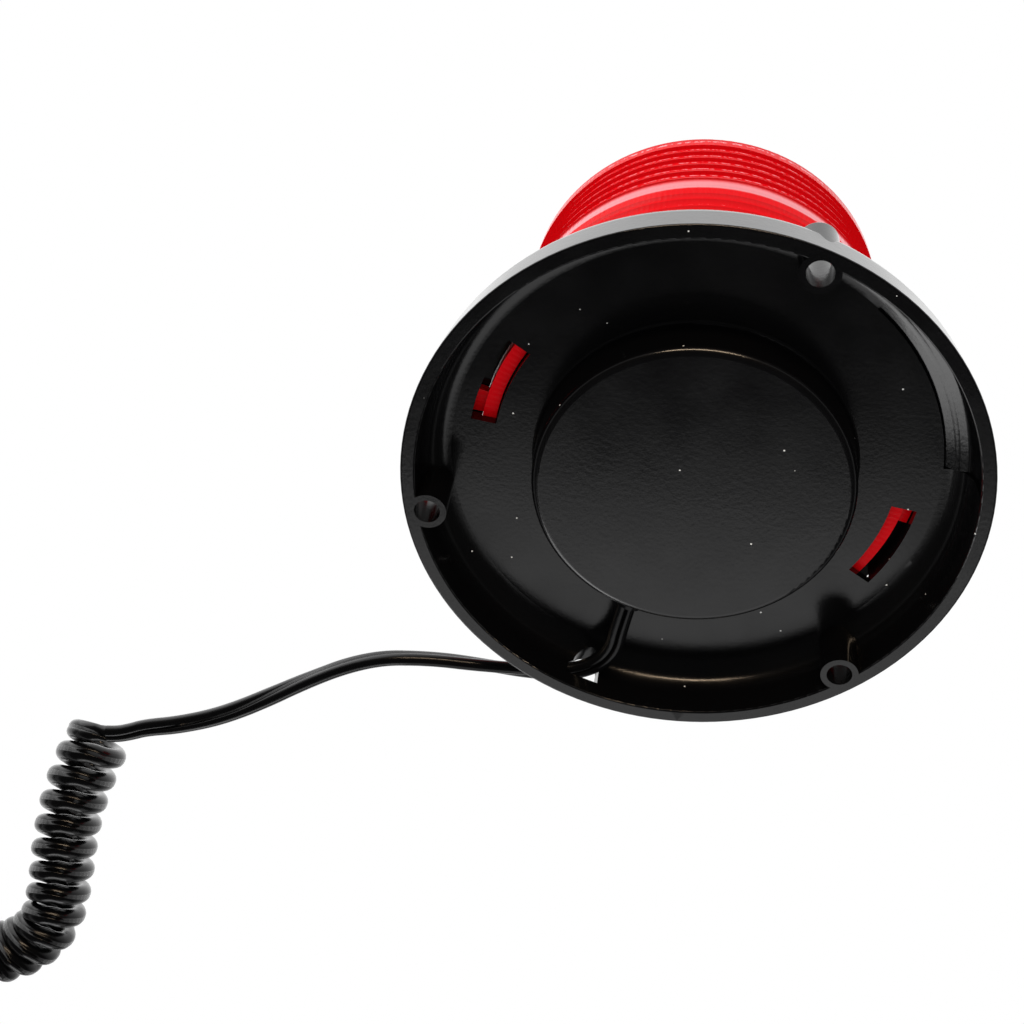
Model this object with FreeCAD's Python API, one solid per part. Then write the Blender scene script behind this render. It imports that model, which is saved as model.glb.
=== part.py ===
"""Rotating beacon, 12 V: a black pan base with a magnet in its centre cup, a red ribbed lens held by two
bayonet lugs, a geared reflector that turns round a bayonet lamp, and a curly cord with a lighter plug.

Millimetres, +Z up the lens axis. The origin is the centre of the rim face that the base stands on.
Each sub-part is written to parts/NAME.step.
"""

import FreeCAD, Part
import math
import os

V = FreeCAD.Vector
UP = V(0, 0, 1)
ORIGIN = V(0, 0, 0)

# ---- clearances -------------------------------------------------------------------------------
RUN_FIT = 0.05        # radial play of a shaft or hub that turns
FACE_GAP = 0.3        # between faces that pass each other
SEAL_GAP = 0.15       # the lens foot slides round its seal
GEAR_BACKLASH = 0.2   # at the pitch line of each mesh

# ---- base pan ---------------------------------------------------------------------------------
RIM_R = 72.5          # outer edge of the rim face
RIM_FACE_W = 3.7
INNER_RIM_R = RIM_R - RIM_FACE_W
SKIRT_TAPER = 8.0     # degrees from vertical
SHOULDER_R = 8.0
COVE_R = 6.9          # inside the shoulder
DECK_Z = 17.0         # top of the pan
WALL = 2.5
FLOOR_Z = DECK_Z - WALL
INNER_DRAFT = 0.6     # the inner wall leans in this much by the floor

CUP_R = 40.0          # raised centre cup that holds the magnet
CUP_FACE_Z = 1.8      # its face stays clear of what the rim stands on
CUP_WALL = 2.4
CUP_EDGE_R = 2.0
CUP_DRAFT = 0.3
CUP_INSIDE_Z = CUP_FACE_Z + CUP_WALL
CUP_BORE_R = CUP_R - CUP_WALL

BOSS_PITCH_R = 66.56
BOSS_R = 4.9
BOSS_HOLE_R = 3.3
BOSS_TOP_Z = DECK_Z + 0.3
BOSS_ANGLES = (52.0, 172.0, 292.0)

SLOT_IN_R = 50.8      # moulding slots under the bayonet catches
SLOT_OUT_R = 57.3
SLOT_ANGLE = 25.0
SLOT_STARTS = (10.0, 190.0)

COLLAR_OUT_R = 49.0   # upstanding collar inside the lens
COLLAR_WALL = 2.0
COLLAR_H = 6.5

POCKET_START = -49.0  # relief in the cove, a shallow cone that runs down into the wall
POCKET_ANGLE = 46.0
POCKET_DEPTH = 0.8
POCKET_SLOPE = 25.0   # degrees from level
POCKET_Z0 = 1.6

CORD_R = 2.3
CORD_CLEAR = 0.4      # round the cord in the hole of the skirt
CORD_ANGLE = 111.0    # where the cord leaves the cup
CORD_Z = 7.3
CORD_HOLE_ANGLE = 111.8
CORD_HOLE_W = 7.5
CORD_HOLE_Z0 = 4.9
CORD_HOLE_Z1 = 13.8
CORD_HOLE_RUNS = (3, 4, 5)   # the points of the route from which the cord goes through the skirt

# ---- lens -------------------------------------------------------------------------------------
LENS_Z0 = DECK_Z + FACE_GAP
SEAL_SECTION_R = 1.0
SEAL_SEAT = 0.03      # keeps the seal's round face just off the collar
LENS_FOOT_IN_R = COLLAR_OUT_R + 2 * SEAL_SECTION_R + SEAL_GAP
LENS_FOOT_OUT_R = LENS_FOOT_IN_R + 3.5
LENS_FOOT_H = 7.0
LENS_CREST_Z = 104.8  # upper edge of the ribbed wall
LENS_CREST_R = 50.0
LENS_DRAFT = 2.8      # degrees
LENS_TOP_Z = 111.5
LENS_WALL = 3.0
LENS_RIBS_Z0 = 25.6
BAND_Z0 = 60.6        # central band, its ridge at the height of the lamp's filament
BAND_MID_Z = 67.4
BAND_Z1 = 74.7
BAND_DEPTH = 1.5      # its lower edge, which slants out to the ridge
BAND_LEAN = 0.4       # its upper half, which is nearly upright
TOP_BAND_Z0 = 100.0   # plain band under the upper edge
RIBS_BELOW = 7
RIBS_ABOVE = 5
RIB_DEPTH = 1.6
RIB_DEPTH_ABOVE = 0.8
FLUTES = 150          # upright flutes inside
FLUTE_DEPTH = 0.7
LUG_START = 0.3       # degrees from the end stop of its catch
LUG_ANGLE = 6.2
LUG_H = 2.6
LUG_OUT_R = LENS_FOOT_OUT_R + 2.6
LUG_Z0 = LENS_Z0 + 1.3
CATCH_POST_W = 2.4
CATCH_LIP_H = 2.4
CATCH_LIP_IN_R = LENS_FOOT_OUT_R + 0.4
CATCH_OUT_R = LUG_OUT_R + 0.4 + CATCH_POST_W

SEAL_Z = DECK_Z + 3.6

# ---- magnet in the cup ------------------------------------------------------------------------
MAGNET_R = 30.0
MAGNET_BORE_R = 12.0
MAGNET_H = 9.0
YOKE_R = 31.0
YOKE_H = 1.6
CUP_POST_R = 5.0
M4_R = 2.0
M4_HEAD_R = 3.8
M4_HEAD_H = 1.8

# ---- chassis ----------------------------------------------------------------------------------
CHASSIS_R = 46.0
CHASSIS_Z = DECK_Z + 3.0
CHASSIS_H = 1.5
CHASSIS_TOP = CHASSIS_Z + CHASSIS_H
CHASSIS_SCREW_PITCH_R = 42.0
CHASSIS_SCREW_ANGLES = (90.0, 210.0, 330.0)
PILLAR_R = 3.4
M3_R = 1.5
M3_HEAD_R = 2.8
M3_HEAD_H = 2.0
M3_DEPTH = 4.6

# ---- lamp and its holder ----------------------------------------------------------------------
LIGHT_Z = BAND_MID_Z
LAMP_CAP_R = 7.5
LAMP_CAP_H = 17.0
LAMP_CAP_Z = LIGHT_Z - 31.8
GLASS_R = 12.8
GLASS_WALL = 0.7
HOLDER_WALL = 0.6
HOLDER_R = LAMP_CAP_R + 0.25
HOLDER_TOP_Z = LAMP_CAP_Z + 15.3
INSULATOR_H = 5.0
PLUNGER_H = 2.0
PIN_R = 1.0

# ---- reflector drive --------------------------------------------------------------------------
HUB_R = 10.5
HUB_SHOULDER_R = 12.0
HUB_SHOULDER_Z = CHASSIS_TOP + 4.1
HUB_TOP_Z = 47.6
CARRIER_Z = HUB_SHOULDER_Z + 0.2
CARRIER_WALL = 2.4
TABLE_Z = 48.0
TABLE_H = 2.0
TABLE_R = 30.0
CLIP_H = 0.9
CLIP_OUT_R = 11.9
CLIP_GROOVE = 0.7

PRESSURE_ANGLE = 25.0
ADDENDUM = 0.85
DEDENDUM = 1.1
FIRST_MODULE = 0.8    # ring gear and small idler wheel
SECOND_MODULE = 0.6   # large idler wheel and motor pinion
RING_TEETH = 48
SMALL_TEETH = 12
LARGE_TEETH = 36
MOTOR_TEETH = 12
GEAR_H = 4.5
LOW_GEAR_H = 3.0
LOW_GEAR_Z = CHASSIS_TOP + 0.8
RING_Z = LOW_GEAR_Z + LOW_GEAR_H + 0.7
IDLER_R = FIRST_MODULE * (RING_TEETH + SMALL_TEETH) / 2
SECOND_CENTRES = SECOND_MODULE * (LARGE_TEETH + MOTOR_TEETH) / 2
MOTOR_PITCH_R = 32.5
MOTOR_ANGLE = 100.0
AXLE_R = 1.5

BRACKET_Z = RING_Z + GEAR_H + 0.5
BRACKET_H = 1.5
BRACKET_FEET = ((-22.5, 31.0), (12.5, 39.0), (-16.5, 19.5))
FOOT_R = 2.5
MOTOR_R = 12.0
MOTOR_Z = BRACKET_Z + BRACKET_H
MOTOR_H = 12.5
END_CAP_H = 2.0
MOTOR_SHAFT_R = 1.0
MOTOR_EYE_R = 3.0     # hole of the bracket round the shaft

FOCUS = 15.5          # of the reflector's parabola, more than the lamp's radius
REFLECTOR_R = 33.0
REFLECTOR_WALL = 1.4
REFLECTOR_FOOT = (-24.0, -12.5, 8.0, 1.5)   # x from, x to, half width, height
REFLECTOR_SCREWS_X = -20.5
REFLECTOR_SCREWS_Y = 4.6
M2_R = 1.25
M2_HEAD_R = 2.2
M2_HEAD_H = 1.4

# ---- cord -------------------------------------------------------------------------------------
GROMMET_FLANGE_R = 3.9
GROMMET_FLANGE_H = 1.0
GROMMET_NECK_R = 3.0
LEAD_R = 0.9
MOTOR_LEAD_CLIMB = (  # round the motor's can: room from it, angle about its axis, z
    (2.6, 150.0, 33.0),
    (2.8, 135.0, 38.0),
    (2.2, 123.0, 41.5),
)

COIL_R = 10.0         # curly cord, outside
COIL_Z = COIL_R + 0.1
FLOOR_CORD_Z = CORD_R + 0.05
CORD_START_R = CUP_R + CUP_DRAFT + GROMMET_FLANGE_H

CORD_ROUTE = [
    (-14.6, 37.6, CORD_Z),
    (-16.9, 47.4, 7.35),
    (-17.8, 54.1, 7.5),
    (-21.4, 60.0, 7.8),
    (-27.3, 63.8, 8.1),
    (-34.8, 64.8, 7.9),
    (-44.0, 63.7, 6.7),
    (-54.5, 61.4, 4.9),
    (-65.5, 59.3, 3.3),
    (-77.2, 59.1, FLOOR_CORD_Z),
    (-88.8, 62.7, FLOOR_CORD_Z),
    (-101.0, 69.5, FLOOR_CORD_Z),
    (-114.0, 77.5, FLOOR_CORD_Z),
    (-127.2, 84.8, FLOOR_CORD_Z),
    (-139.4, 89.0, FLOOR_CORD_Z),
    (-148.8, 90.9, FLOOR_CORD_Z),
    (-154.6, 93.8, FLOOR_CORD_Z),
    (-159.6, 98.6, FLOOR_CORD_Z),
    (-164.9, 104.4, FLOOR_CORD_Z),
]
COIL_ROUTE = [
    (-166.0, 101.6, COIL_Z),
    (-171.6, 113.4, COIL_Z),
    (-178.2, 129.6, COIL_Z),
    (-183.3, 147.0, COIL_Z),
    (-187.6, 166.5, COIL_Z),
    (-194.2, 187.4, COIL_Z),
    (-212.6, 202.0, COIL_Z),
    (-237.6, 201.4, COIL_Z),
    (-256.6, 184.6, COIL_Z),
    (-262.4, 160.4, COIL_Z),
    (-261.0, 134.4, COIL_Z),
    (-255.4, 107.2, COIL_Z),
    (-248.0, 80.0, COIL_Z),
]
TAIL_ROUTE = [
    (-248.6, 83.0, FLOOR_CORD_Z),
    (-246.6, 70.0, FLOOR_CORD_Z),
    (-246.0, 57.0, 2.6),
    (-244.6, 45.0, 5.2),
    (-244.0, 32.0, 10.2),
    (-244.0, 20.0, 12.8),
]

# ---- lighter plug -----------------------------------------------------------------------------
PLUG_GRIP_R = 12.6
PLUG_SHELL_R = 10.4
PLUG_AXIS_Z = PLUG_GRIP_R + 0.2
PLUG_X = -244.0
PLUG_Y = 8.0          # where the cord meets the boot
BOOT_L = 24.0
GRIP_L = 24.0
SHELL_L = 30.0
NOSE_L = 8.0
NOSE_R = 9.6
PLUG_BORE_R = 3.6
FUSE_R = 3.1
FUSE_L = 28.0
TIP_R = 2.9
TIP_COLLAR_R = 3.5
TIP_TRAVEL = 2.5
TIP_OUT = 7.0
CONTACT_L = 14.0
CONTACT_W = 4.4
CONTACT_IN_R = 8.0
CONTACT_OUT_R = 11.9
CONTACT_TRAVEL = 1.4


# ---- shapes -----------------------------------------------------------------------------------
def polar(radius, degrees, z=0.0):
    angle = math.radians(degrees)
    return V(radius * math.cos(angle), radius * math.sin(angle), z)


def cylinder(radius, z0, z1, at=ORIGIN):
    return Part.makeCylinder(radius, z1 - z0, V(at.x, at.y, z0))


def ring(inner, outer, z0, z1, at=ORIGIN):
    return cylinder(outer, z0, z1, at).cut(cylinder(inner, z0 - 1, z1 + 1, at))


def sector(inner, outer, z0, z1, start, angle):
    """A ring's stretch of the given angle, counted from the start angle."""
    whole = Part.makeCylinder(outer, z1 - z0, V(0, 0, z0), UP, angle)
    piece = whole.cut(cylinder(inner, z0 - 1, z1 + 1))
    piece.rotate(ORIGIN, UP, start)
    return piece


def box(x0, x1, y0, y1, z0, z1):
    return Part.makeBox(x1 - x0, y1 - y0, z1 - z0, V(x0, y0, z0))


def fused(shapes):
    whole = shapes[0].fuse(shapes[1:]) if len(shapes) > 1 else shapes[0]
    return whole.removeSplitter()


def outline(corners):
    """A closed wire in the XZ plane through corners (r, z, corner radius)."""
    count = len(corners)
    points = [V(r, 0, z) for r, z, _ in corners]
    starts, ends, arcs = [], [], []
    for i, (_, _, radius) in enumerate(corners):
        here = points[i]
        before = (points[i - 1] - here).normalize()
        after = (points[(i + 1) % count] - here).normalize()
        if radius <= 0:
            starts.append(here)
            ends.append(here)
            arcs.append(None)
            continue
        half = before.getAngle(after) / 2
        back = radius / math.tan(half)
        middle = (before + after).normalize() * (radius / math.sin(half) - radius)
        starts.append(here + before * back)
        ends.append(here + after * back)
        arcs.append(Part.Arc(starts[-1], here + middle, ends[-1]).toShape())
    edges = []
    for i in range(count):
        if arcs[i]:
            edges.append(arcs[i])
        following = starts[(i + 1) % count]
        if ends[i].distanceToPoint(following) > 1e-6:
            edges.append(Part.makeLine(ends[i], following))
    return Part.Wire(edges)


def revolved(corners, start=0.0, angle=360.0):
    """The section turned round Z, or through an angle counted from the start angle."""
    whole = Part.Face(outline(corners)).revolve(ORIGIN, UP, angle)
    whole.rotate(ORIGIN, UP, start)
    return whole


def screw(at, z_face, radius, depth, head_r, head_h):
    """A pan-head screw with a cross slot, its head standing on z_face."""
    head = revolved([
        (0, z_face, 0), (head_r, z_face, 0), (head_r, z_face + head_h, head_h * 0.45),
        (0, z_face + head_h, 0),
    ])
    slot_w, slot_d = radius * 0.35, head_h * 0.45
    for x, y in ((head_r * 0.6, slot_w), (slot_w, head_r * 0.6)):
        head = head.cut(box(-x, x, -y, y, z_face + head_h - slot_d, z_face + head_h + 1))
    whole = head.fuse(cylinder(radius, z_face - depth, z_face)).removeSplitter()
    whole.translate(V(at.x, at.y, 0))
    return whole


def rounded_path(points, report=None):
    """Straight runs joined by tangent arcs as large as the runs allow."""
    points = [V(*p) for p in points]
    edges, radii, last = [], [], points[0]
    for before, here, after in zip(points, points[1:], points[2:]):
        back = (before - here).normalize()
        onward = (after - here).normalize()
        half_turn = (math.pi - back.getAngle(onward)) / 2
        reach = 0.45 * min(here.distanceToPoint(before), here.distanceToPoint(after))
        radius = reach / math.tan(half_turn)
        start, end = here + back * reach, here + onward * reach
        inside = (back + onward).normalize() * (math.hypot(reach, radius) - radius)
        edges.append(Part.LineSegment(last, start).toShape())
        edges.append(Part.Arc(start, here + inside, end).toShape())
        radii.append(radius)
        last = end
    edges.append(Part.LineSegment(last, points[-1]).toShape())
    path = Part.Wire(edges)
    if report:
        print(report, "length %.1f mm, arc radii" % path.Length, [round(r, 1) for r in radii])
    return path


def tube(points, radius, report=None):
    path = rounded_path(points, report)
    start, towards = V(*points[0]), V(*points[1]) - V(*points[0])
    section = Part.Wire(Part.makeCircle(radius, start, towards))
    solid = path.makePipeShell([section], True, False)
    if report:
        print("  volume %.1f of %.1f" % (solid.Volume, math.pi * radius ** 2 * path.Length))
    return solid


def involute(angle):
    return math.tan(angle) - angle


def gear(teeth, module, z0, height, first_tooth):
    """A spur gear with straight chords along its involute flanks, one tooth at first_tooth degrees."""
    pressure = math.radians(PRESSURE_ANGLE)
    pitch = teeth * module / 2
    base, tip, root = pitch * math.cos(pressure), pitch + ADDENDUM * module, pitch - DEDENDUM * module
    half_tooth = (math.pi * module - GEAR_BACKLASH) / 4 / pitch
    steps = 3
    lowest = max(base, root)
    flank = [(root, half_tooth + involute(pressure))] if root < base else []
    for i in range(steps + 1):
        radius = lowest + (tip - lowest) * i / steps
        rolled = math.acos(min(1.0, base / radius))
        flank.append((radius, half_tooth + involute(pressure) - involute(rolled)))
    points = []
    for tooth in range(teeth):
        centre = math.radians(first_tooth) + 2 * math.pi * tooth / teeth
        for side, part in ((-1, flank), (1, flank[::-1])):
            for radius, half in part:
                points.append(polar(radius, math.degrees(centre + side * half), z0))
    face = Part.Face(Part.makePolygon(points + points[:1]))
    return face.extrude(V(0, 0, height))


def helix_spring(mean_r, wire_r, z0, z1, turns):
    """A coil spring standing on Z, its ends left open."""
    height = z1 - z0 - 2 * wire_r
    path = Part.makeHelix(height / turns, height, mean_r)
    section = Part.Wire(Part.makeCircle(wire_r, V(mean_r, 0, 0), V(0, 1, 0)))
    spring = Part.Wire(path.Edges).makePipeShell([section], True, True)
    spring.translate(V(0, 0, z0 + wire_r))
    return spring


# ---- base pan ---------------------------------------------------------------------------------
def arch(width, z0, z1, reach, at, angle):
    """A cutter with a flat foot and a round top, reaching outwards from a point."""
    half = width / 2
    prism = box(0, reach, -half, half, z0, z1 - half)
    top = Part.makeCylinder(half, reach, V(0, 0, z1 - half), V(1, 0, 0))
    cutter = prism.fuse(top)
    cutter.rotate(ORIGIN, UP, angle)
    cutter.translate(V(at.x, at.y, 0))
    return cutter


def base_pan():
    deck_edge = RIM_R - DECK_Z * math.tan(math.radians(SKIRT_TAPER))
    section = [
        (0, CUP_FACE_Z, 0),
        (CUP_R, CUP_FACE_Z, CUP_EDGE_R),
        (CUP_R + CUP_DRAFT, FLOOR_Z, 0.8),
        (INNER_RIM_R - INNER_DRAFT, FLOOR_Z, COVE_R),
        (INNER_RIM_R, 0, 0.4),
        (RIM_R, 0, 0.5),
        (deck_edge, DECK_Z, SHOULDER_R),
        (COLLAR_OUT_R, DECK_Z, 0),
        (COLLAR_OUT_R, DECK_Z + COLLAR_H, 0.4),
        (COLLAR_OUT_R - COLLAR_WALL, DECK_Z + COLLAR_H, 0.4),
        (COLLAR_OUT_R - COLLAR_WALL, DECK_Z, 0),
        (CUP_BORE_R, DECK_Z, 0.6),
        (CUP_BORE_R, CUP_INSIDE_Z, 0.6),
        (0, CUP_INSIDE_Z, 0),
    ]
    pan = revolved(section)
    added = [cylinder(CUP_POST_R, CUP_INSIDE_Z, CUP_INSIDE_Z + MAGNET_H)]
    for angle in BOSS_ANGLES:
        boss = cylinder(BOSS_R, 0, BOSS_TOP_Z, polar(BOSS_PITCH_R, angle))
        top_edge = [e for e in boss.Edges if e.BoundBox.ZMin > BOSS_TOP_Z - 0.01]
        added.append(boss.makeFillet(0.8, top_edge))
    for angle in CHASSIS_SCREW_ANGLES:
        at = polar(CHASSIS_SCREW_PITCH_R, angle)
        added.append(cylinder(PILLAR_R, DECK_Z, CHASSIS_Z, at))
    pan = fused([pan] + added + [catch(start) for start in SLOT_STARTS])
    cuts = [sector(SLOT_IN_R, SLOT_OUT_R, FLOOR_Z - 1, DECK_Z + 0.01, start, SLOT_ANGLE)
            for start in SLOT_STARTS]
    cuts += [cylinder(BOSS_HOLE_R, -1, BOSS_TOP_Z + 1, polar(BOSS_PITCH_R, a)) for a in BOSS_ANGLES]
    for angle in CHASSIS_SCREW_ANGLES:
        at = polar(CHASSIS_SCREW_PITCH_R, angle)
        cuts.append(cylinder(M3_R, CHASSIS_TOP - M3_DEPTH - 0.4, CHASSIS_Z + 1, at))
    cuts.append(cylinder(M4_R, CUP_INSIDE_Z + 1.2, CUP_INSIDE_Z + MAGNET_H + 1))
    cuts.append(pocket())
    cuts += cord_holes()
    for cut in cuts:
        pan = pan.cut(cut)
    return pan


def pocket():
    """The relief: a step in the floor, a shallow cone outwards, then down the wall."""
    foot_r = INNER_RIM_R - INNER_DRAFT - COVE_R
    wall_r = INNER_RIM_R + POCKET_DEPTH / 2
    turn_r = wall_r - 1.6
    top_z = FLOOR_Z + POCKET_DEPTH
    turn_z = top_z - (turn_r - foot_r) * math.tan(math.radians(POCKET_SLOPE))
    low_r = foot_r + COVE_R / 2
    return revolved([(foot_r, FLOOR_Z - COVE_R, 0), (foot_r, top_z, 0), (turn_r, turn_z, 2.0),
                     (wall_r, turn_z - 4.0, 0), (wall_r, POCKET_Z0, 0), (low_r, POCKET_Z0, 0)],
                    POCKET_START, POCKET_ANGLE)


def catch(start):
    """A bayonet catch: post, overhanging lip and end stop, over one slot."""
    lip_z0 = LUG_Z0 + LUG_H + FACE_GAP
    post = sector(CATCH_OUT_R - CATCH_POST_W, CATCH_OUT_R, DECK_Z - 1, lip_z0 + CATCH_LIP_H,
                  start, SLOT_ANGLE)
    lip = sector(CATCH_LIP_IN_R, CATCH_OUT_R, lip_z0, lip_z0 + CATCH_LIP_H, start, SLOT_ANGLE)
    stop = sector(CATCH_LIP_IN_R, CATCH_OUT_R, DECK_Z - 1, lip_z0 + CATCH_LIP_H, start - 2.4, 2.4)
    return fused([post, lip, stop])


def cord_holes():
    """The hole in the cup's wall, and the arch in the skirt, which also opens along the cord."""
    neck = Part.makeCylinder(GROMMET_NECK_R, CUP_WALL + 6, polar(CUP_BORE_R - 3, CORD_ANGLE, CORD_Z),
                             polar(1, CORD_ANGLE))
    straight = arch(CORD_HOLE_W, CORD_HOLE_Z0, CORD_HOLE_Z1, 20, polar(60, CORD_HOLE_ANGLE),
                    CORD_HOLE_ANGLE)
    along = []
    for i in CORD_HOLE_RUNS:
        inside, outside = V(*CORD_ROUTE[i]), V(*CORD_ROUTE[i + 1])
        heading = outside - inside
        top = max(inside.z, outside.z) + CORD_R + CORD_CLEAR
        along.append(arch(2 * (CORD_R + CORD_CLEAR), CORD_HOLE_Z0, top, heading.Length + CORD_R, inside,
                          math.degrees(math.atan2(heading.y, heading.x))))
    return [neck, straight] + along


# ---- lens -------------------------------------------------------------------------------------
def lens_wall_r(z):
    return LENS_CREST_R + (LENS_CREST_Z - z) * math.tan(math.radians(LENS_DRAFT))


def lens():
    """A ribbed shell: prism rings outside, upright flutes inside, two lugs at its foot."""
    foot_top = LENS_Z0 + LENS_FOOT_H
    section = [(0, LENS_Z0, 0), (LENS_FOOT_OUT_R, LENS_Z0, 0), (LENS_FOOT_OUT_R, foot_top, 0.8),
               (lens_wall_r(foot_top + 1), foot_top + 1, 0),
               (lens_wall_r(LENS_RIBS_Z0), LENS_RIBS_Z0, 0)]
    pitch = (BAND_Z0 - LENS_RIBS_Z0) / RIBS_BELOW
    for i in range(RIBS_BELOW):
        low, high = LENS_RIBS_Z0 + i * pitch, LENS_RIBS_Z0 + (i + 1) * pitch
        section += [(lens_wall_r(low) - RIB_DEPTH, low + 0.4, 0), (lens_wall_r(high), high, 0)]
    section += [(lens_wall_r(BAND_Z0) - BAND_DEPTH, BAND_Z0 + 0.4, 0),
                (lens_wall_r(BAND_MID_Z), BAND_MID_Z, 0),
                (lens_wall_r(BAND_Z1) - BAND_LEAN, BAND_Z1 - 0.2, 0)]
    pitch = (TOP_BAND_Z0 - BAND_Z1) / RIBS_ABOVE
    for i in range(RIBS_ABOVE):
        low, high = BAND_Z1 + i * pitch, BAND_Z1 + (i + 1) * pitch
        section += [(lens_wall_r(low), low, 0), (lens_wall_r(high) - RIB_DEPTH_ABOVE, high - 0.4, 0)]
    section += [(lens_wall_r(TOP_BAND_Z0), TOP_BAND_Z0, 0), (LENS_CREST_R, LENS_CREST_Z, 1.0),
                (LENS_CREST_R - 3.5, LENS_CREST_Z + 3.2, 4.0), (LENS_CREST_R - 20, LENS_TOP_Z, 30.0),
                (0, LENS_TOP_Z, 0)]
    shell = revolved(section)
    lugs = [sector(LENS_FOOT_OUT_R - 1, LUG_OUT_R, LUG_Z0, LUG_Z0 + LUG_H, start + LUG_START, LUG_ANGLE)
            for start in SLOT_STARTS]
    shell = fused([shell] + lugs)
    shell = shell.cut(cylinder(LENS_FOOT_IN_R, LENS_Z0 - 1, LENS_RIBS_Z0 - 1))
    return shell.cut(flutes()).cut(dome_hollow())


def star(radius, z):
    """A closed outline of shallow V flutes, their tips at the given radius."""
    step = 360.0 / FLUTES
    points = []
    for i in range(FLUTES):
        points += [polar(radius, i * step, z), polar(radius - FLUTE_DEPTH, (i + 0.5) * step, z)]
    return Part.makePolygon(points + points[:1])


def flutes():
    low, high = LENS_RIBS_Z0 - 1, LENS_CREST_Z - 1
    inner = [lens_wall_r(z) - RIB_DEPTH - 0.6 * LENS_WALL + FLUTE_DEPTH / 2 for z in (low, high)]
    return Part.makeLoft([star(inner[0], low), star(inner[1], high)], True, True)


def dome_hollow():
    low = LENS_CREST_Z - 1.2
    inner = lens_wall_r(low) - RIB_DEPTH - LENS_WALL
    return revolved([(0, low, 0), (inner, low, 0), (inner - 2.5, LENS_CREST_Z + 1, 2.0),
                     (inner - 18, LENS_TOP_Z - LENS_WALL, 20.0), (0, LENS_TOP_Z - LENS_WALL, 0)])


def lens_seal():
    middle_r = COLLAR_OUT_R + SEAL_SECTION_R + SEAL_SEAT
    return Part.makeTorus(middle_r, SEAL_SECTION_R, V(0, 0, SEAL_Z))


# ---- magnet and chassis -----------------------------------------------------------------------
def magnet_parts():
    top = CUP_INSIDE_Z + MAGNET_H
    yoke_top = top + YOKE_H
    magnet = revolved([(MAGNET_BORE_R, CUP_INSIDE_Z, 0.5), (MAGNET_R, CUP_INSIDE_Z, 0.8),
                       (MAGNET_R, top, 0.8), (MAGNET_BORE_R, top, 0.5)])
    return {
        "magnet_ring": magnet,
        "magnet_yoke": ring(M4_R + 0.2, YOKE_R, top, yoke_top),
        "magnet_screw": screw(ORIGIN, yoke_top, M4_R, MAGNET_H + YOKE_H - 2, M4_HEAD_R, M4_HEAD_H),
    }


def idler_place():
    """The idler's angle, from its distance to the reflector's axis and to the motor's."""
    spread = math.acos((IDLER_R ** 2 + MOTOR_PITCH_R ** 2 - SECOND_CENTRES ** 2)
                       / (2 * IDLER_R * MOTOR_PITCH_R))
    return polar(IDLER_R, MOTOR_ANGLE - math.degrees(spread))


def chassis_plate():
    plate = cylinder(CHASSIS_R, CHASSIS_Z, CHASSIS_TOP)
    holes = [cylinder(HOLDER_R + HOLDER_WALL + RUN_FIT, CHASSIS_Z - 1, CHASSIS_TOP + 1)]
    for angle in CHASSIS_SCREW_ANGLES:
        at = polar(CHASSIS_SCREW_PITCH_R, angle)
        holes.append(cylinder(M3_R + 0.2, CHASSIS_Z - 1, CHASSIS_TOP + 1, at))
    holes.append(cylinder(AXLE_R, CHASSIS_Z - 1, CHASSIS_TOP + 1, idler_place()))
    holes.append(cylinder(2.6, CHASSIS_Z - 1, CHASSIS_TOP + 1, motor_lead_hole()))
    for angle in (0, 150, 270):
        holes.append(cylinder(4.0, CHASSIS_Z - 1, CHASSIS_TOP + 1, polar(32, angle)))
    for hole in holes:
        plate = plate.cut(hole)
    return plate


def motor_lead_hole():
    return polar(CHASSIS_R - 5.0, CORD_ANGLE + 6)


def chassis_screws():
    return [screw(polar(CHASSIS_SCREW_PITCH_R, a), CHASSIS_TOP, M3_R, M3_DEPTH, M3_HEAD_R, M3_HEAD_H)
            for a in CHASSIS_SCREW_ANGLES]


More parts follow.
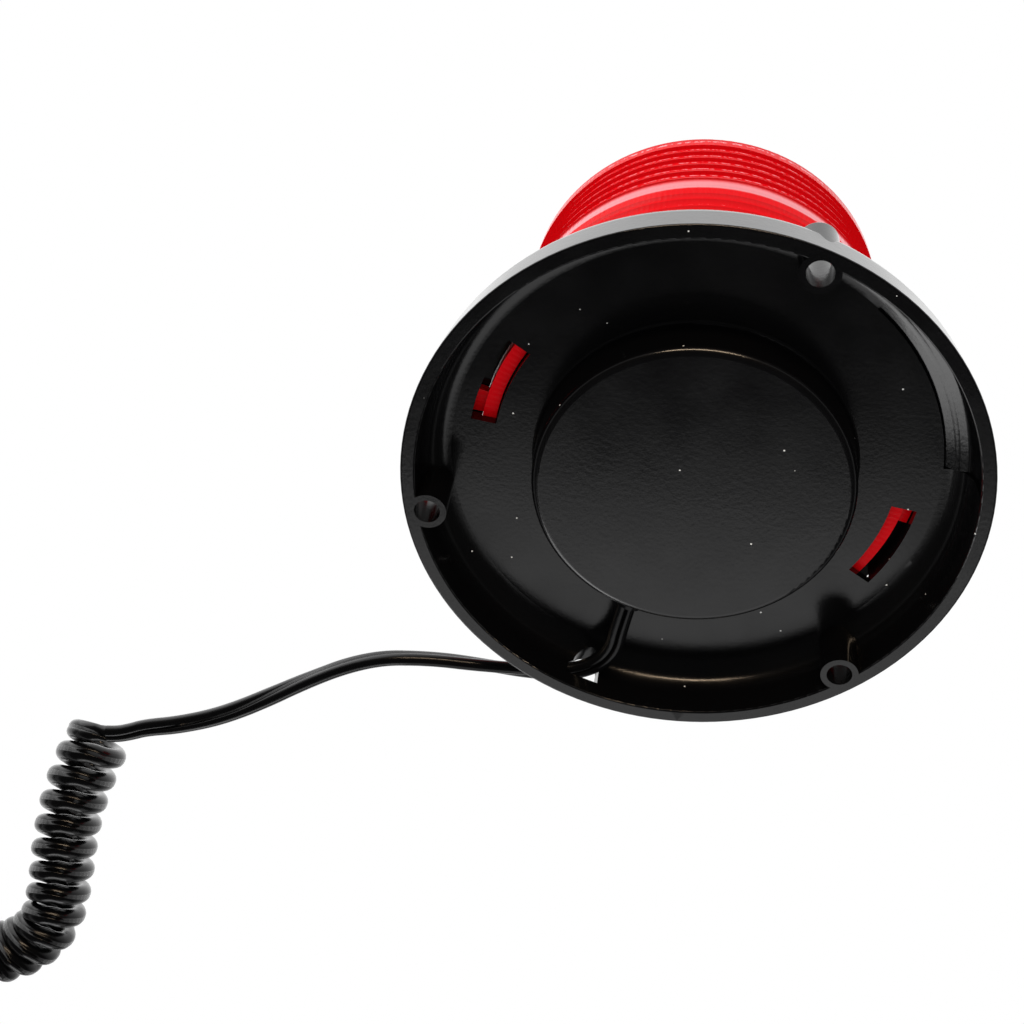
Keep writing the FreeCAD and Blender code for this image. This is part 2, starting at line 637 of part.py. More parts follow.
# ---- lamp -------------------------------------------------------------------------------------
def lamp_parts():
    holder_out = HOLDER_R + HOLDER_WALL
    holder = ring(HOLDER_R, holder_out, CHASSIS_Z, HOLDER_TOP_Z)
    pin_z = LAMP_CAP_Z + 6.5
    slot_half = PIN_R + 0.3
    for side in (0, 180):
        upright = box(HOLDER_R - 1, holder_out + 1, -slot_half, slot_half, pin_z, HOLDER_TOP_Z + 1)
        sideways = sector(HOLDER_R - 1, holder_out + 1, pin_z - slot_half, pin_z + slot_half, 0, 40)
        cutter = upright.fuse(sideways)
        cutter.rotate(ORIGIN, UP, side - 25)
        holder = holder.cut(cutter)
    insulator = cylinder(HOLDER_R, CHASSIS_Z, CHASSIS_Z + INSULATOR_H)
    plunger_top = LAMP_CAP_Z - 0.8
    plunger = revolved([(0, plunger_top - PLUNGER_H, 0), (HOLDER_R - 0.1, plunger_top - PLUNGER_H, 0),
                        (HOLDER_R - 0.1, plunger_top, 0.4), (1.8, plunger_top, 0), (1.8, LAMP_CAP_Z, 0.3),
                        (0, LAMP_CAP_Z, 0)])
    spring = helix_spring(4.6, 0.45, CHASSIS_Z + INSULATOR_H, plunger_top - PLUNGER_H, 5)
    cap = revolved([(0, LAMP_CAP_Z, 0), (2.2, LAMP_CAP_Z, 0), (2.2, LAMP_CAP_Z + 1.2, 0),
                    (LAMP_CAP_R, LAMP_CAP_Z + 1.2, 0.8), (LAMP_CAP_R, LAMP_CAP_Z + LAMP_CAP_H, 0),
                    (0, LAMP_CAP_Z + LAMP_CAP_H, 0)])
    pin_end = holder_out - 2 * RUN_FIT
    pins = Part.makeCylinder(PIN_R, 2 * pin_end, V(-pin_end, 0, pin_z), V(1, 0, 0))
    cap = cap.fuse(pins).removeSplitter()
    return {"lamp_holder": holder, "lamp_insulator": insulator, "lamp_plunger": plunger,
            "lamp_spring": spring, "lamp_cap": cap, "lamp_glass": lamp_glass(),
            "lamp_filament": lamp_filament()}


def glass_outline(radius, neck, z_low, z_top):
    return [(0, z_low, 0), (neck, z_low, 0), (neck, z_low + 3, 1.0), (radius, LIGHT_Z - 5, 4.0),
            (radius, LIGHT_Z + 6, 5.0), (radius * 0.62, z_top, 3.0), (0, z_top, 0)]


def lamp_glass():
    low = LAMP_CAP_Z + LAMP_CAP_H
    top = LIGHT_Z + 14.0
    outer = revolved(glass_outline(GLASS_R, LAMP_CAP_R - 0.5, low, top))
    inner = revolved(glass_outline(GLASS_R - GLASS_WALL, LAMP_CAP_R - 0.5 - GLASS_WALL,
                                   low + GLASS_WALL, top - GLASS_WALL))
    return outer.cut(inner)


def lamp_filament():
    low = LAMP_CAP_Z + LAMP_CAP_H + GLASS_WALL
    bead = revolved([(0, low, 0), (2.6, low, 0), (1.8, low + 6, 0.5), (0, low + 6, 0)])
    posts = [cylinder(0.35, low + 5, LIGHT_Z + 0.4, V(x, 0, 0)) for x in (-1.4, 1.4)]
    wire = Part.makeCylinder(0.5, 4.4, V(-2.2, 0, LIGHT_Z), V(1, 0, 0))
    return fused([bead, wire] + posts)


# ---- reflector and its drive ------------------------------------------------------------------
def centre_hub():
    bore = HOLDER_R + HOLDER_WALL
    clip_z = HUB_TOP_Z - 2.0
    return revolved([
        (bore, CHASSIS_TOP, 0), (HUB_SHOULDER_R, CHASSIS_TOP, 0), (HUB_SHOULDER_R, HUB_SHOULDER_Z, 0.3),
        (HUB_R, HUB_SHOULDER_Z, 0), (HUB_R, clip_z, 0), (HUB_R - CLIP_GROOVE, clip_z, 0),
        (HUB_R - CLIP_GROOVE, clip_z + CLIP_H, 0), (HUB_R, clip_z + CLIP_H, 0), (HUB_R, HUB_TOP_Z, 0.4),
        (bore, HUB_TOP_Z, 0),
    ])


def retaining_ring():
    z = HUB_TOP_Z - 2.0
    clip = ring(HUB_R - CLIP_GROOVE, CLIP_OUT_R, z, z + CLIP_H)
    return clip.cut(box(0, CLIP_OUT_R + 1, -1.2, 1.2, z - 1, z + 2))


def reflector_carrier():
    """Bearing tube, ring gear and table in one moulding."""
    bore = HUB_R + RUN_FIT
    outer = bore + CARRIER_WALL
    clip_room = HUB_TOP_Z - 2.0 - FACE_GAP
    ring_angle = math.degrees(math.atan2(idler_place().y, idler_place().x))
    wheel = gear(RING_TEETH, FIRST_MODULE, RING_Z, GEAR_H, ring_angle)
    tube_body = cylinder(outer, CARRIER_Z, TABLE_Z + TABLE_H)
    neck = cylinder(CLIP_OUT_R + FACE_GAP + 1.4, clip_room - 2, TABLE_Z + TABLE_H)
    table = cylinder(TABLE_R, TABLE_Z, TABLE_Z + TABLE_H)
    body = fused([wheel, tube_body, neck, table])
    body = body.cut(cylinder(bore, CARRIER_Z - 1, TABLE_Z + TABLE_H + 1))
    body = body.cut(cylinder(CLIP_OUT_R + FACE_GAP, clip_room, TABLE_Z + TABLE_H + 1))
    for y in (-REFLECTOR_SCREWS_Y, REFLECTOR_SCREWS_Y):
        body = body.cut(cylinder(M2_R, TABLE_Z - 1, TABLE_Z + TABLE_H + 1, V(REFLECTOR_SCREWS_X, y, 0)))
    return body


def reflector():
    """A paraboloid dish with the lamp's filament at its focus, standing on a foot."""
    steps = 10
    def curve(offset):
        points = []
        for i in range(steps + 1):
            across = REFLECTOR_R * i / steps
            slope = across / (2 * FOCUS)
            tilt = math.hypot(1, slope)
            along = across ** 2 / (4 * FOCUS) - FOCUS
            points.append(V(along - offset / tilt, 0, LIGHT_Z + across + offset * slope / tilt))
        points[0] = V(-FOCUS - offset, 0, LIGHT_Z)
        spline = Part.BSplineCurve()
        spline.interpolate(points)
        return spline.toShape(), points
    inner, inner_points = curve(0.0)
    outer, outer_points = curve(REFLECTOR_WALL)
    rim = Part.makeLine(inner_points[-1], outer_points[-1])
    vertex = Part.makeLine(outer_points[0], inner_points[0])
    dish = Part.Face(Part.Wire([inner, rim, outer, vertex])).revolve(V(0, 0, LIGHT_Z), V(1, 0, 0), 360)
    table_top = TABLE_Z + TABLE_H
    x0, x1, half, height = REFLECTOR_FOOT
    foot = box(x0, x1, -half, half, table_top, table_top + height)
    whole = dish.cut(box(-60, 60, -60, 60, 0, table_top)).fuse(foot)
    cavity = Part.Face(Part.Wire([inner, Part.makeLine(inner_points[-1], V(inner_points[-1].x, 0, LIGHT_Z)),
                                  Part.makeLine(V(inner_points[-1].x, 0, LIGHT_Z), inner_points[0])]))
    whole = whole.cut(cavity.revolve(V(0, 0, LIGHT_Z), V(1, 0, 0), 360)).removeSplitter()
    for y in (-REFLECTOR_SCREWS_Y, REFLECTOR_SCREWS_Y):
        whole = whole.cut(cylinder(M2_R + 0.1, table_top - 1, table_top + height + 1,
                                   V(REFLECTOR_SCREWS_X, y, 0)))
    return whole


def reflector_screws():
    face = TABLE_Z + TABLE_H + REFLECTOR_FOOT[3]
    return [screw(V(REFLECTOR_SCREWS_X, y, 0), face, M2_R, REFLECTOR_FOOT[3] + TABLE_H, M2_HEAD_R, M2_HEAD_H)
            for y in (-REFLECTOR_SCREWS_Y, REFLECTOR_SCREWS_Y)]


def idler_gear():
    """The large and the small wheel in one moulding; the small one's gap meets the ring's tooth."""
    at = idler_place()
    to_motor = polar(MOTOR_PITCH_R, MOTOR_ANGLE) - at
    large_angle = math.degrees(math.atan2(to_motor.y, to_motor.x))
    small_angle = math.degrees(math.atan2(at.y, at.x)) + 180 + 180.0 / SMALL_TEETH
    large = gear(LARGE_TEETH, SECOND_MODULE, LOW_GEAR_Z, LOW_GEAR_H, large_angle)
    small = gear(SMALL_TEETH, FIRST_MODULE, LOW_GEAR_Z + LOW_GEAR_H,
                 RING_Z + GEAR_H - LOW_GEAR_Z - LOW_GEAR_H,
                 small_angle)
    washer = cylinder(3.0, CHASSIS_TOP + 0.2, LOW_GEAR_Z)
    wheel = fused([large, small, washer])
    wheel = wheel.cut(cylinder(AXLE_R + RUN_FIT, CHASSIS_TOP, BRACKET_Z))
    wheel.translate(at)
    return wheel


def idler_axle():
    return cylinder(AXLE_R, CHASSIS_Z, BRACKET_Z + BRACKET_H, idler_place())


def link(start, end, radius, z0, z1):
    """A flat bar with round ends."""
    along = end - start
    bar = box(0, along.Length, -radius, radius, z0, z1)
    bar.rotate(ORIGIN, UP, math.degrees(math.atan2(along.y, along.x)))
    bar.translate(V(start.x, start.y, 0))
    return fused([bar, cylinder(radius, z0, z1, start), cylinder(radius, z0, z1, end)])


def bracket_parts():
    motor, idler = polar(MOTOR_PITCH_R, MOTOR_ANGLE), idler_place()
    top = BRACKET_Z + BRACKET_H
    feet = [V(x, y, 0) for x, y in BRACKET_FEET]
    arms = [link(motor, foot, FOOT_R + 1.2, BRACKET_Z, top) for foot in feet]
    arms.append(link(motor, idler, FOOT_R + 1.2, BRACKET_Z, top))
    plate = fused([cylinder(MOTOR_R + 0.6, BRACKET_Z, top, motor)] + arms)
    plate = plate.cut(cylinder(MOTOR_EYE_R, BRACKET_Z - 1, top + 1, motor))
    plate = plate.cut(cylinder(AXLE_R, BRACKET_Z - 1, top + 1, idler))
    for foot in feet:
        plate = plate.cut(cylinder(M2_R, BRACKET_Z - 1, top + 1, foot))
    pillars = [ring(M2_R, FOOT_R, CHASSIS_TOP, BRACKET_Z, foot) for foot in feet]
    screws = [screw(foot, top, M2_R, BRACKET_H + 4, M2_HEAD_R, M2_HEAD_H) for foot in feet]
    return {"motor_bracket": plate, "bracket_pillars": pillars, "bracket_screws": screws}


def motor_parts():
    at = polar(MOTOR_PITCH_R, MOTOR_ANGLE)
    can_top = MOTOR_Z + MOTOR_H
    shaft_top = can_top - 1.0
    can = revolved([(0, MOTOR_Z, 0), (MOTOR_R, MOTOR_Z, 1.0), (MOTOR_R, can_top, 0), (0, can_top, 0)])
    boss = cylinder(MOTOR_EYE_R - 0.2, MOTOR_Z - 1.2, MOTOR_Z + 1)
    can = can.fuse(boss).removeSplitter()
    can = can.cut(cylinder(MOTOR_SHAFT_R + RUN_FIT, MOTOR_Z - 2, shaft_top + 0.3))
    cap = revolved([(0, can_top, 0), (MOTOR_R - 0.8, can_top, 0), (MOTOR_R - 0.8, can_top + END_CAP_H, 0.6),
                    (0, can_top + END_CAP_H, 0)])
    tags = [box(x - 0.4, x + 0.4, MOTOR_R - 3.5, MOTOR_R + 1.6, can_top + 0.4, can_top + 1.2)
            for x in (-4, 4)]
    cap = fused([cap] + tags)
    to_idler = idler_place() - at
    tooth = math.degrees(math.atan2(to_idler.y, to_idler.x)) + 180.0 / MOTOR_TEETH
    pinion = gear(MOTOR_TEETH, SECOND_MODULE, LOW_GEAR_Z - 0.1, LOW_GEAR_H + 0.2, tooth)
    pinion = pinion.cut(cylinder(MOTOR_SHAFT_R, LOW_GEAR_Z - 1, LOW_GEAR_Z + LOW_GEAR_H + 1))
    shaft = cylinder(MOTOR_SHAFT_R, LOW_GEAR_Z - 0.3, shaft_top)
    found = {"motor_can": can, "motor_end_cap": cap, "motor_pinion": pinion, "motor_shaft": shaft}
    for name, shape in found.items():
        if name == "motor_end_cap":
            shape.rotate(ORIGIN, UP, MOTOR_ANGLE - 90)
        shape.translate(at)
    return found


# ---- cord -------------------------------------------------------------------------------------
def cord_grommet():
    heading = polar(1, CORD_ANGLE)
    inner = polar(CUP_BORE_R - 0.8, CORD_ANGLE, CORD_Z)
    flange_at = polar(CUP_R + CUP_DRAFT, CORD_ANGLE, CORD_Z)
    neck = Part.makeCylinder(GROMMET_NECK_R, CUP_R + CUP_DRAFT - CUP_BORE_R + 0.8, inner, heading)
    flange = Part.makeCylinder(GROMMET_FLANGE_R, GROMMET_FLANGE_H, flange_at, heading)
    bore = Part.makeCylinder(CORD_R, 12, polar(CUP_BORE_R - 3, CORD_ANGLE, CORD_Z), heading)
    return neck.fuse(flange).removeSplitter().cut(bore)


def beyond(face_at, away):
    """All that lies past a flat face, as far as a cord's end reaches."""
    return Part.makeCylinder(4 * COIL_R, 2 * COIL_R, face_at, away)


def cord_tube():
    """The cord from its end in the grommet to the coil, cut flat against the faces that it meets."""
    coil_start = V(*COIL_ROUTE[0])
    whole = tube(CORD_ROUTE, CORD_R, "cord_tube")
    whole = whole.cut(beyond(coil_start, V(*COIL_ROUTE[1]) - coil_start))
    return whole.cut(beyond(polar(CORD_START_R, CORD_ANGLE, CORD_Z), polar(-1, CORD_ANGLE)))


def cord_tail():
    """The cord from the coil to the plug's boot."""
    coil_end = V(*COIL_ROUTE[-1])
    whole = tube(TAIL_ROUTE + [(PLUG_X, PLUG_Y, PLUG_AXIS_Z)], CORD_R, "cord_tail")
    return whole.cut(beyond(coil_end, V(*COIL_ROUTE[-2]) - coil_end))


def inner_cord():
    """The cord's end inside the grommet, and the two leads that it splits into, side by side."""
    end_r = CUP_BORE_R - 1.2
    stub = Part.makeCylinder(CORD_R, CORD_START_R - end_r, polar(end_r, CORD_ANGLE, CORD_Z),
                             polar(1, CORD_ANGLE))
    side = polar(LEAD_R + 0.2, CORD_ANGLE + 90)
    high = CHASSIS_Z - LEAD_R - 0.3
    in_cup = [(end_r, CORD_Z), (end_r - 2.2, CORD_Z), (end_r - 3.2, CORD_Z + 4.2)]
    lamp = [polar(r, CORD_ANGLE, z) - side
            for r, z in in_cup + [(end_r - 4.0, high - 1.6), (end_r - 7.6, high), (1.6, high)]]
    motor = [polar(r, CORD_ANGLE, z) + side
             for r, z in in_cup + [(end_r - 1.4, high - 2.0), (end_r + 2.0, high - 0.1)]]
    hole, axis = motor_lead_hole(), polar(MOTOR_PITCH_R, MOTOR_ANGLE)
    motor += [hole + V(0, 0, CHASSIS_Z - 1), hole + V(0, 0, CHASSIS_TOP + 5)]
    motor += [axis + polar(MOTOR_R + room, angle, z) for room, angle, z in MOTOR_LEAD_CLIMB]
    motor += [motor_tag() - V(0, 0, 2.2), motor_tag()]
    return {"cord_end": stub, "lamp_lead": tube(lamp, LEAD_R, "lamp_lead"),
            "motor_lead": tube(motor, LEAD_R, "motor_lead")}


def motor_tag():
    """Just under the left terminal of the motor."""
    at = V(-4, MOTOR_R + 0.2 + LEAD_R, MOTOR_Z + MOTOR_H + 0.4)
    at = FreeCAD.Rotation(UP, MOTOR_ANGLE - 90).multVec(at)
    return at + polar(MOTOR_PITCH_R, MOTOR_ANGLE)


# ---- lighter plug -----------------------------------------------------------------------------
def plug_stations():
    """Distances from the cord's end: grip, shell, nose ring and front face."""
    grip = BOOT_L
    shell = grip + GRIP_L
    nose = shell + SHELL_L
    return grip, shell, nose, nose + NOSE_L


def laid(shape):
    """Turns a shape built along +Z to lie along -Y at the plug's place."""
    shape.rotate(ORIGIN, V(1, 0, 0), 90)
    shape.translate(V(PLUG_X, PLUG_Y, PLUG_AXIS_Z))
    return shape


def plug_parts():
    grip, shell, nose, front = plug_stations()
    ribs = [(CORD_R, 0, 0), (CORD_R + 1.4, 0, 0)]
    count = 5
    for i in range(count):
        z = BOOT_L * (i + 0.5) / count
        radius = CORD_R + 1.4 + 3.0 * (i + 0.5) / count
        ribs += [(radius, z - 1.6, 0), (radius + 0.5, z - 0.8, 0), (radius + 0.5, z + 0.8, 0),
                 (radius - 0.3, z + 1.6, 0)]
    boot = revolved(ribs + [(CORD_R + 4.6, grip, 0), (CORD_R, grip, 0)])
    body = revolved([
        (0, grip, 0), (PLUG_GRIP_R - 2.4, grip, 2.0), (PLUG_GRIP_R, grip + 8, 6.0),
        (PLUG_GRIP_R, shell - 3, 2.0), (PLUG_SHELL_R, shell + 1, 1.0),
        (PLUG_SHELL_R, nose, 0.3), (0, nose, 0),
    ])
    room = FUSE_L + 6.0 + TIP_TRAVEL + 0.6
    tip_back = front - 3.2 - TIP_TRAVEL
    body = body.cut(cylinder(PLUG_BORE_R, tip_back - room, nose + 1))
    contact_z = (shell + nose) / 2 - CONTACT_L / 2
    for angle in (0, 180):
        window = box(CONTACT_IN_R - CONTACT_TRAVEL - FACE_GAP, PLUG_SHELL_R + 3, -CONTACT_W / 2 - FACE_GAP,
                     CONTACT_W / 2 + FACE_GAP, contact_z - FACE_GAP, contact_z + CONTACT_L + FACE_GAP)
        window.rotate(ORIGIN, UP, angle)
        body = body.cut(window)
    nose_ring = revolved([(PLUG_BORE_R, nose, 0), (NOSE_R, nose, 0.3), (NOSE_R - 0.6, front, 1.2),
                          (TIP_R + 0.3, front, 0), (TIP_R + 0.3, front - 1.6, 0),
                          (PLUG_BORE_R, front - 1.6, 0)])
    collar_z = front - 1.8
    tip = revolved([(0, tip_back, 0), (TIP_COLLAR_R - 0.1, tip_back, 0), (TIP_COLLAR_R - 0.1, collar_z, 0),
                    (TIP_R, collar_z, 0), (TIP_R, front + TIP_OUT, 2.4), (0, front + TIP_OUT, 0)])
    fuse = fused([cylinder(FUSE_R - 0.25, tip_back - FUSE_L + 4, tip_back - 4),
                  cylinder(FUSE_R, tip_back - 5, tip_back),
                  cylinder(FUSE_R, tip_back - FUSE_L, tip_back - FUSE_L + 5)])
    spring = helix_spring(2.6, 0.4, tip_back - FUSE_L - 6.0, tip_back - FUSE_L, 4)
    found = {"plug_boot": boot, "plug_body": body, "plug_nose_ring": nose_ring, "plug_tip": tip,
             "plug_fuse": fuse, "plug_spring": spring}
    for name, angle in (("plug_contact_right", 0), ("plug_contact_left", 180)):
        found[name] = side_contact(contact_z, angle)
    return {name: laid(shape) for name, shape in found.items()}


def side_contact(z0, angle):
    """A sprung contact: a plate with a bowed outer face."""
    plate = box(CONTACT_IN_R, CONTACT_OUT_R + 1, -CONTACT_W / 2, CONTACT_W / 2, z0, z0 + CONTACT_L)
    bow = Part.makeCylinder(22.0, CONTACT_W, V(CONTACT_OUT_R - 22.0, -CONTACT_W / 2, z0 + CONTACT_L / 2),
                            V(0, 1, 0))
    plate = plate.common(bow)
    plate.rotate(ORIGIN, UP, angle)
    return plate


# ---- everything -------------------------------------------------------------------------------
def all_parts():
    parts = {"base_pan": base_pan(), "lens": lens(), "lens_seal": lens_seal(),
             "chassis_plate": chassis_plate(), "chassis_screws": chassis_screws(),
             "centre_hub": centre_hub(), "retaining_ring": retaining_ring(),
             "reflector_carrier": reflector_carrier(), "reflector": reflector(),
             "reflector_screws": reflector_screws(), "idler_gear": idler_gear(), "idler_axle": idler_axle(),
             "cord_grommet": cord_grommet(), "cord_tube": cord_tube(),
             "cord_coil": tube(COIL_ROUTE, COIL_R, "cord_coil"),
             "cord_tail": cord_tail()}
    for group in (magnet_parts, lamp_parts, bracket_parts, motor_parts, inner_cord, plug_parts):
        parts.update(group())
    return parts


def main():
    os.makedirs("parts", exist_ok=True)
    for name, shape in all_parts().items():
        solids = shape if isinstance(shape, list) else [shape]
        solids = [solid for piece in solids for solid in piece.Solids]
        whole = solids[0] if len(solids) == 1 else Part.makeCompound(solids)
        whole.exportStep("parts/%s.step" % name)
        box_ = whole.BoundBox
        print("%-20s solids %d valid %s volume %.0f  x %.1f %.1f  y %.1f %.1f  z %.1f %.1f" % (
            name, len(solids), whole.isValid(), whole.Volume, box_.XMin, box_.XMax, box_.YMin, box_.YMax,
            box_.ZMin, box_.ZMax))


main()
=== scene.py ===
"""Rotating beacon: the cord, materials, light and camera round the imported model.

Metres, unless a name says otherwise. +Z is up the lens's axis, and the cord leaves the base on its +Y side.
"""
import math

import bmesh
import bpy
from mathutils import Matrix, Vector


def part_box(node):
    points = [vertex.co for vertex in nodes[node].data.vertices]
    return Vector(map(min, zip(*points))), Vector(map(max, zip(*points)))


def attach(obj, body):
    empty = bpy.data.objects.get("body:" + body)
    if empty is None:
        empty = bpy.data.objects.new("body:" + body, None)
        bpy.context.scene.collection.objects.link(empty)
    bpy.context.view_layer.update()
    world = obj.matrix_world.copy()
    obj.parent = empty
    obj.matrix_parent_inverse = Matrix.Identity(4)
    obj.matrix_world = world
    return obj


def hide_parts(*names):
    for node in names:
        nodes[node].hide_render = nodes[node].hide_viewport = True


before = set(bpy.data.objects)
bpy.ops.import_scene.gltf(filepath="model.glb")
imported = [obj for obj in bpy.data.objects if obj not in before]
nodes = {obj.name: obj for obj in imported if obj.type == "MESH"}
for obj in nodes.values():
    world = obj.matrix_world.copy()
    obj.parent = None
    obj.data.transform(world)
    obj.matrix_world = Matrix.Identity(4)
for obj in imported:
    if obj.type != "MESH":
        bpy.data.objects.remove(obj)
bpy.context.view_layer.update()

UP = Vector((0, 0, 1))
scene = bpy.context.scene


def finished(bm, name):
    """The object that a bmesh makes."""
    mesh = bpy.data.meshes.new(name)
    bm.to_mesh(mesh)
    bm.free()
    piece = bpy.data.objects.new(name, mesh)
    scene.collection.objects.link(piece)
    return piece


# ---- camera: it looks up into the base, from the side away from the cord ------------------------
CAMERA_AT = Vector((-0.00457, -0.23736, -0.35860))
CAMERA_RIGHT = Vector((0.99388, 0.0, 0.11046))
CAMERA_UP = Vector((-0.06208, -0.82714, 0.55856))
CAMERA_BACK = Vector((0.09137, -0.56200, -0.82208))
SENSOR_MM = 36
FOCAL_MM = 61.5
NEAREST = 0.01


def add_camera():
    data = bpy.data.cameras.new("camera")
    data.sensor_width = SENSOR_MM
    data.lens = FOCAL_MM
    data.clip_start = NEAREST
    camera = bpy.data.objects.new("camera", data)
    turn = Matrix((CAMERA_RIGHT, CAMERA_UP, CAMERA_BACK)).transposed()
    camera.matrix_world = Matrix.Translation(CAMERA_AT) @ turn.to_4x4()
    scene.collection.objects.link(camera)
    scene.camera = camera


add_camera()

# ---- the cord's route ---------------------------------------------------------------------------
# part.py's points, with the lead's end and the tail moved a little to meet the coil's turns.
CORD_ROUTE = [
    (-0.0146, 0.0376, 0.0073),
    (-0.0169, 0.0474, 0.00735),
    (-0.0178, 0.0541, 0.0075),
    (-0.0214, 0.0600, 0.0078),
    (-0.0273, 0.0638, 0.0081),
    (-0.0348, 0.0648, 0.0079),
    (-0.0440, 0.0637, 0.0067),
    (-0.0545, 0.0614, 0.0049),
    (-0.0655, 0.0593, 0.0033),
    (-0.0772, 0.0591, 0.00235),
    (-0.0888, 0.0627, 0.00235),
    (-0.1010, 0.0695, 0.00235),
    (-0.1140, 0.0775, 0.00235),
    (-0.1272, 0.0848, 0.00235),
    (-0.1394, 0.0890, 0.00235),
    (-0.1488, 0.0909, 0.00235),
    (-0.1535, 0.0930, 0.00245),
    (-0.1577, 0.0944, 0.0026),
    (-0.1607, 0.0947, 0.0028),
]
COIL_ROUTE = [
    (-0.1660, 0.1016, 0.0101),
    (-0.1716, 0.1134, 0.0101),
    (-0.1782, 0.1296, 0.0101),
    (-0.1833, 0.1470, 0.0101),
    (-0.1876, 0.1665, 0.0101),
    (-0.1942, 0.1874, 0.0101),
    (-0.2126, 0.2020, 0.0101),
    (-0.2376, 0.2014, 0.0101),
    (-0.2566, 0.1846, 0.0101),
    (-0.2624, 0.1604, 0.0101),
    (-0.2610, 0.1344, 0.0101),
    (-0.2554, 0.1072, 0.0101),
    (-0.2480, 0.0800, 0.0101),
]
TAIL_ROUTE = [
    (-0.2440, 0.0780, 0.00235),
    (-0.2410, 0.0720, 0.00235),
    (-0.2430, 0.0650, 0.00235),
    (-0.2460, 0.0570, 0.0026),
    (-0.2446, 0.0450, 0.0052),
    (-0.2440, 0.0320, 0.0102),
    (-0.2440, 0.0200, 0.0128),
    (-0.2440, 0.0080, 0.0128),
]
SPLINE_STEPS = 14       # between two points of a route
FLOOR_GAP = 0.0001      # left under a cord that lies on the floor
SHORTEST_STEP = 1e-9    # two points of a line may lie in one place

# The lead and the tail are flat twin cord, and the coiled stretch between them is nearly round and thicker.
CORD_WIDE = 0.0052
LOBE_R = 0.0017                             # of each half of the twin cord
LOBE_OFF = CORD_WIDE / 2 - LOBE_R           # from the cord's middle to the middle of a half
COIL_CORD_WIDE = 0.0058
COIL_LOBE_R = 0.0027
COIL_LOBE_OFF = COIL_CORD_WIDE / 2 - COIL_LOBE_R
LOBE_POINTS = 11
SWELL_RUN = 0.006       # the cord changes from one section to the other over this length

COIL_MEAN_R = 0.0072
STEPS_PER_TURN = 40
# Pairs of a distance along the coil and the pitch there: the turns lie further apart in the stretch that
# the cord pulls open, and closer from the bend on.
COIL_PITCH = [(0.0, 0.0080), (0.010, 0.0105), (0.075, 0.0102), (0.100, 0.0070), (0.3, 0.0062)]
# The same for how far the turns lean, as a slope.
COIL_LEAN = [(0.0, 1.0), (0.075, 1.0), (0.110, 0.45), (1.0, 0.45)]
# Pairs of a distance along the lead and the tilt of the cord's wide side from level, in degrees.
CORD_TILT = [(0.0, 8), (0.030, 0), (0.066, 70), (0.100, 92), (0.135, 150), (0.172, 180), (1.0, 180)]


def spline_points(points):
    """Points along the NURBS spline that has these control points."""
    curve = bpy.data.curves.new("line", "CURVE")
    curve.dimensions = "3D"
    curve.resolution_u = SPLINE_STEPS
    spline = curve.splines.new("NURBS")
    spline.points.add(len(points) - 1)
    for point, co in zip(spline.points, points):
        point.co = (*co, 1)
    spline.order_u = 3
    spline.use_endpoint_u = True
    carrier = bpy.data.objects.new("line", curve)
    scene.collection.objects.link(carrier)
    mesh = bpy.data.meshes.new_from_object(carrier)
    line = [v.co.copy() for v in mesh.vertices]
    bpy.data.objects.remove(carrier)
    bpy.data.meshes.remove(mesh)
    return line


def keyed(keys, at):
    """Value between keys, with a smooth change from one to the next."""
    for (a, low), (b, high) in zip(keys, keys[1:]):
        if at <= b:
            t = max(0.0, (at - a) / (b - a))
            return low + (high - low) * t * t * (3 - 2 * t)
    return keys[-1][1]


def walked(line):
    """Distance along a line at each of its points."""
    run = [0.0]
    for a, b in zip(line, line[1:]):
        run.append(run[-1] + (b - a).length)
    return run


def heading_at(line, i):
    """Direction of a line at one of its points."""
    return (line[min(i + 1, len(line) - 1)] - line[max(i - 1, 0)]).normalized()


def at_distance(line, run, wanted):
    """Place and heading at a distance along a line."""
    i = 1
    while i < len(run) - 1 and run[i] < wanted:
        i += 1
    t = (wanted - run[i - 1]) / max(run[i] - run[i - 1], SHORTEST_STEP)
    before, after = line[max(i - 2, 0)], line[min(i + 1, len(line) - 1)]
    return line[i - 1].lerp(line[i], t), (after - before).normalized()


def off_floor(place, half_height):
    """A place along the cord, raised where the cord would sink into the floor."""
    return Vector((place.x, place.y, max(place.z, half_height + FLOOR_GAP)))


def lead_stations():
    """Place, direction of the wide side and swell, at each station from the base to the coil."""
    line = spline_points(CORD_ROUTE)
    for i, run in enumerate(walked(line)):
        tilt = math.radians(keyed(CORD_TILT, run))
        heading = heading_at(line, i)
        level = heading.cross(UP).normalized()
        wide = level * math.cos(tilt) + level.cross(heading) * math.sin(tilt)
        yield off_floor(line[i], LOBE_OFF * abs(math.sin(tilt)) + LOBE_R), wide, 0.0


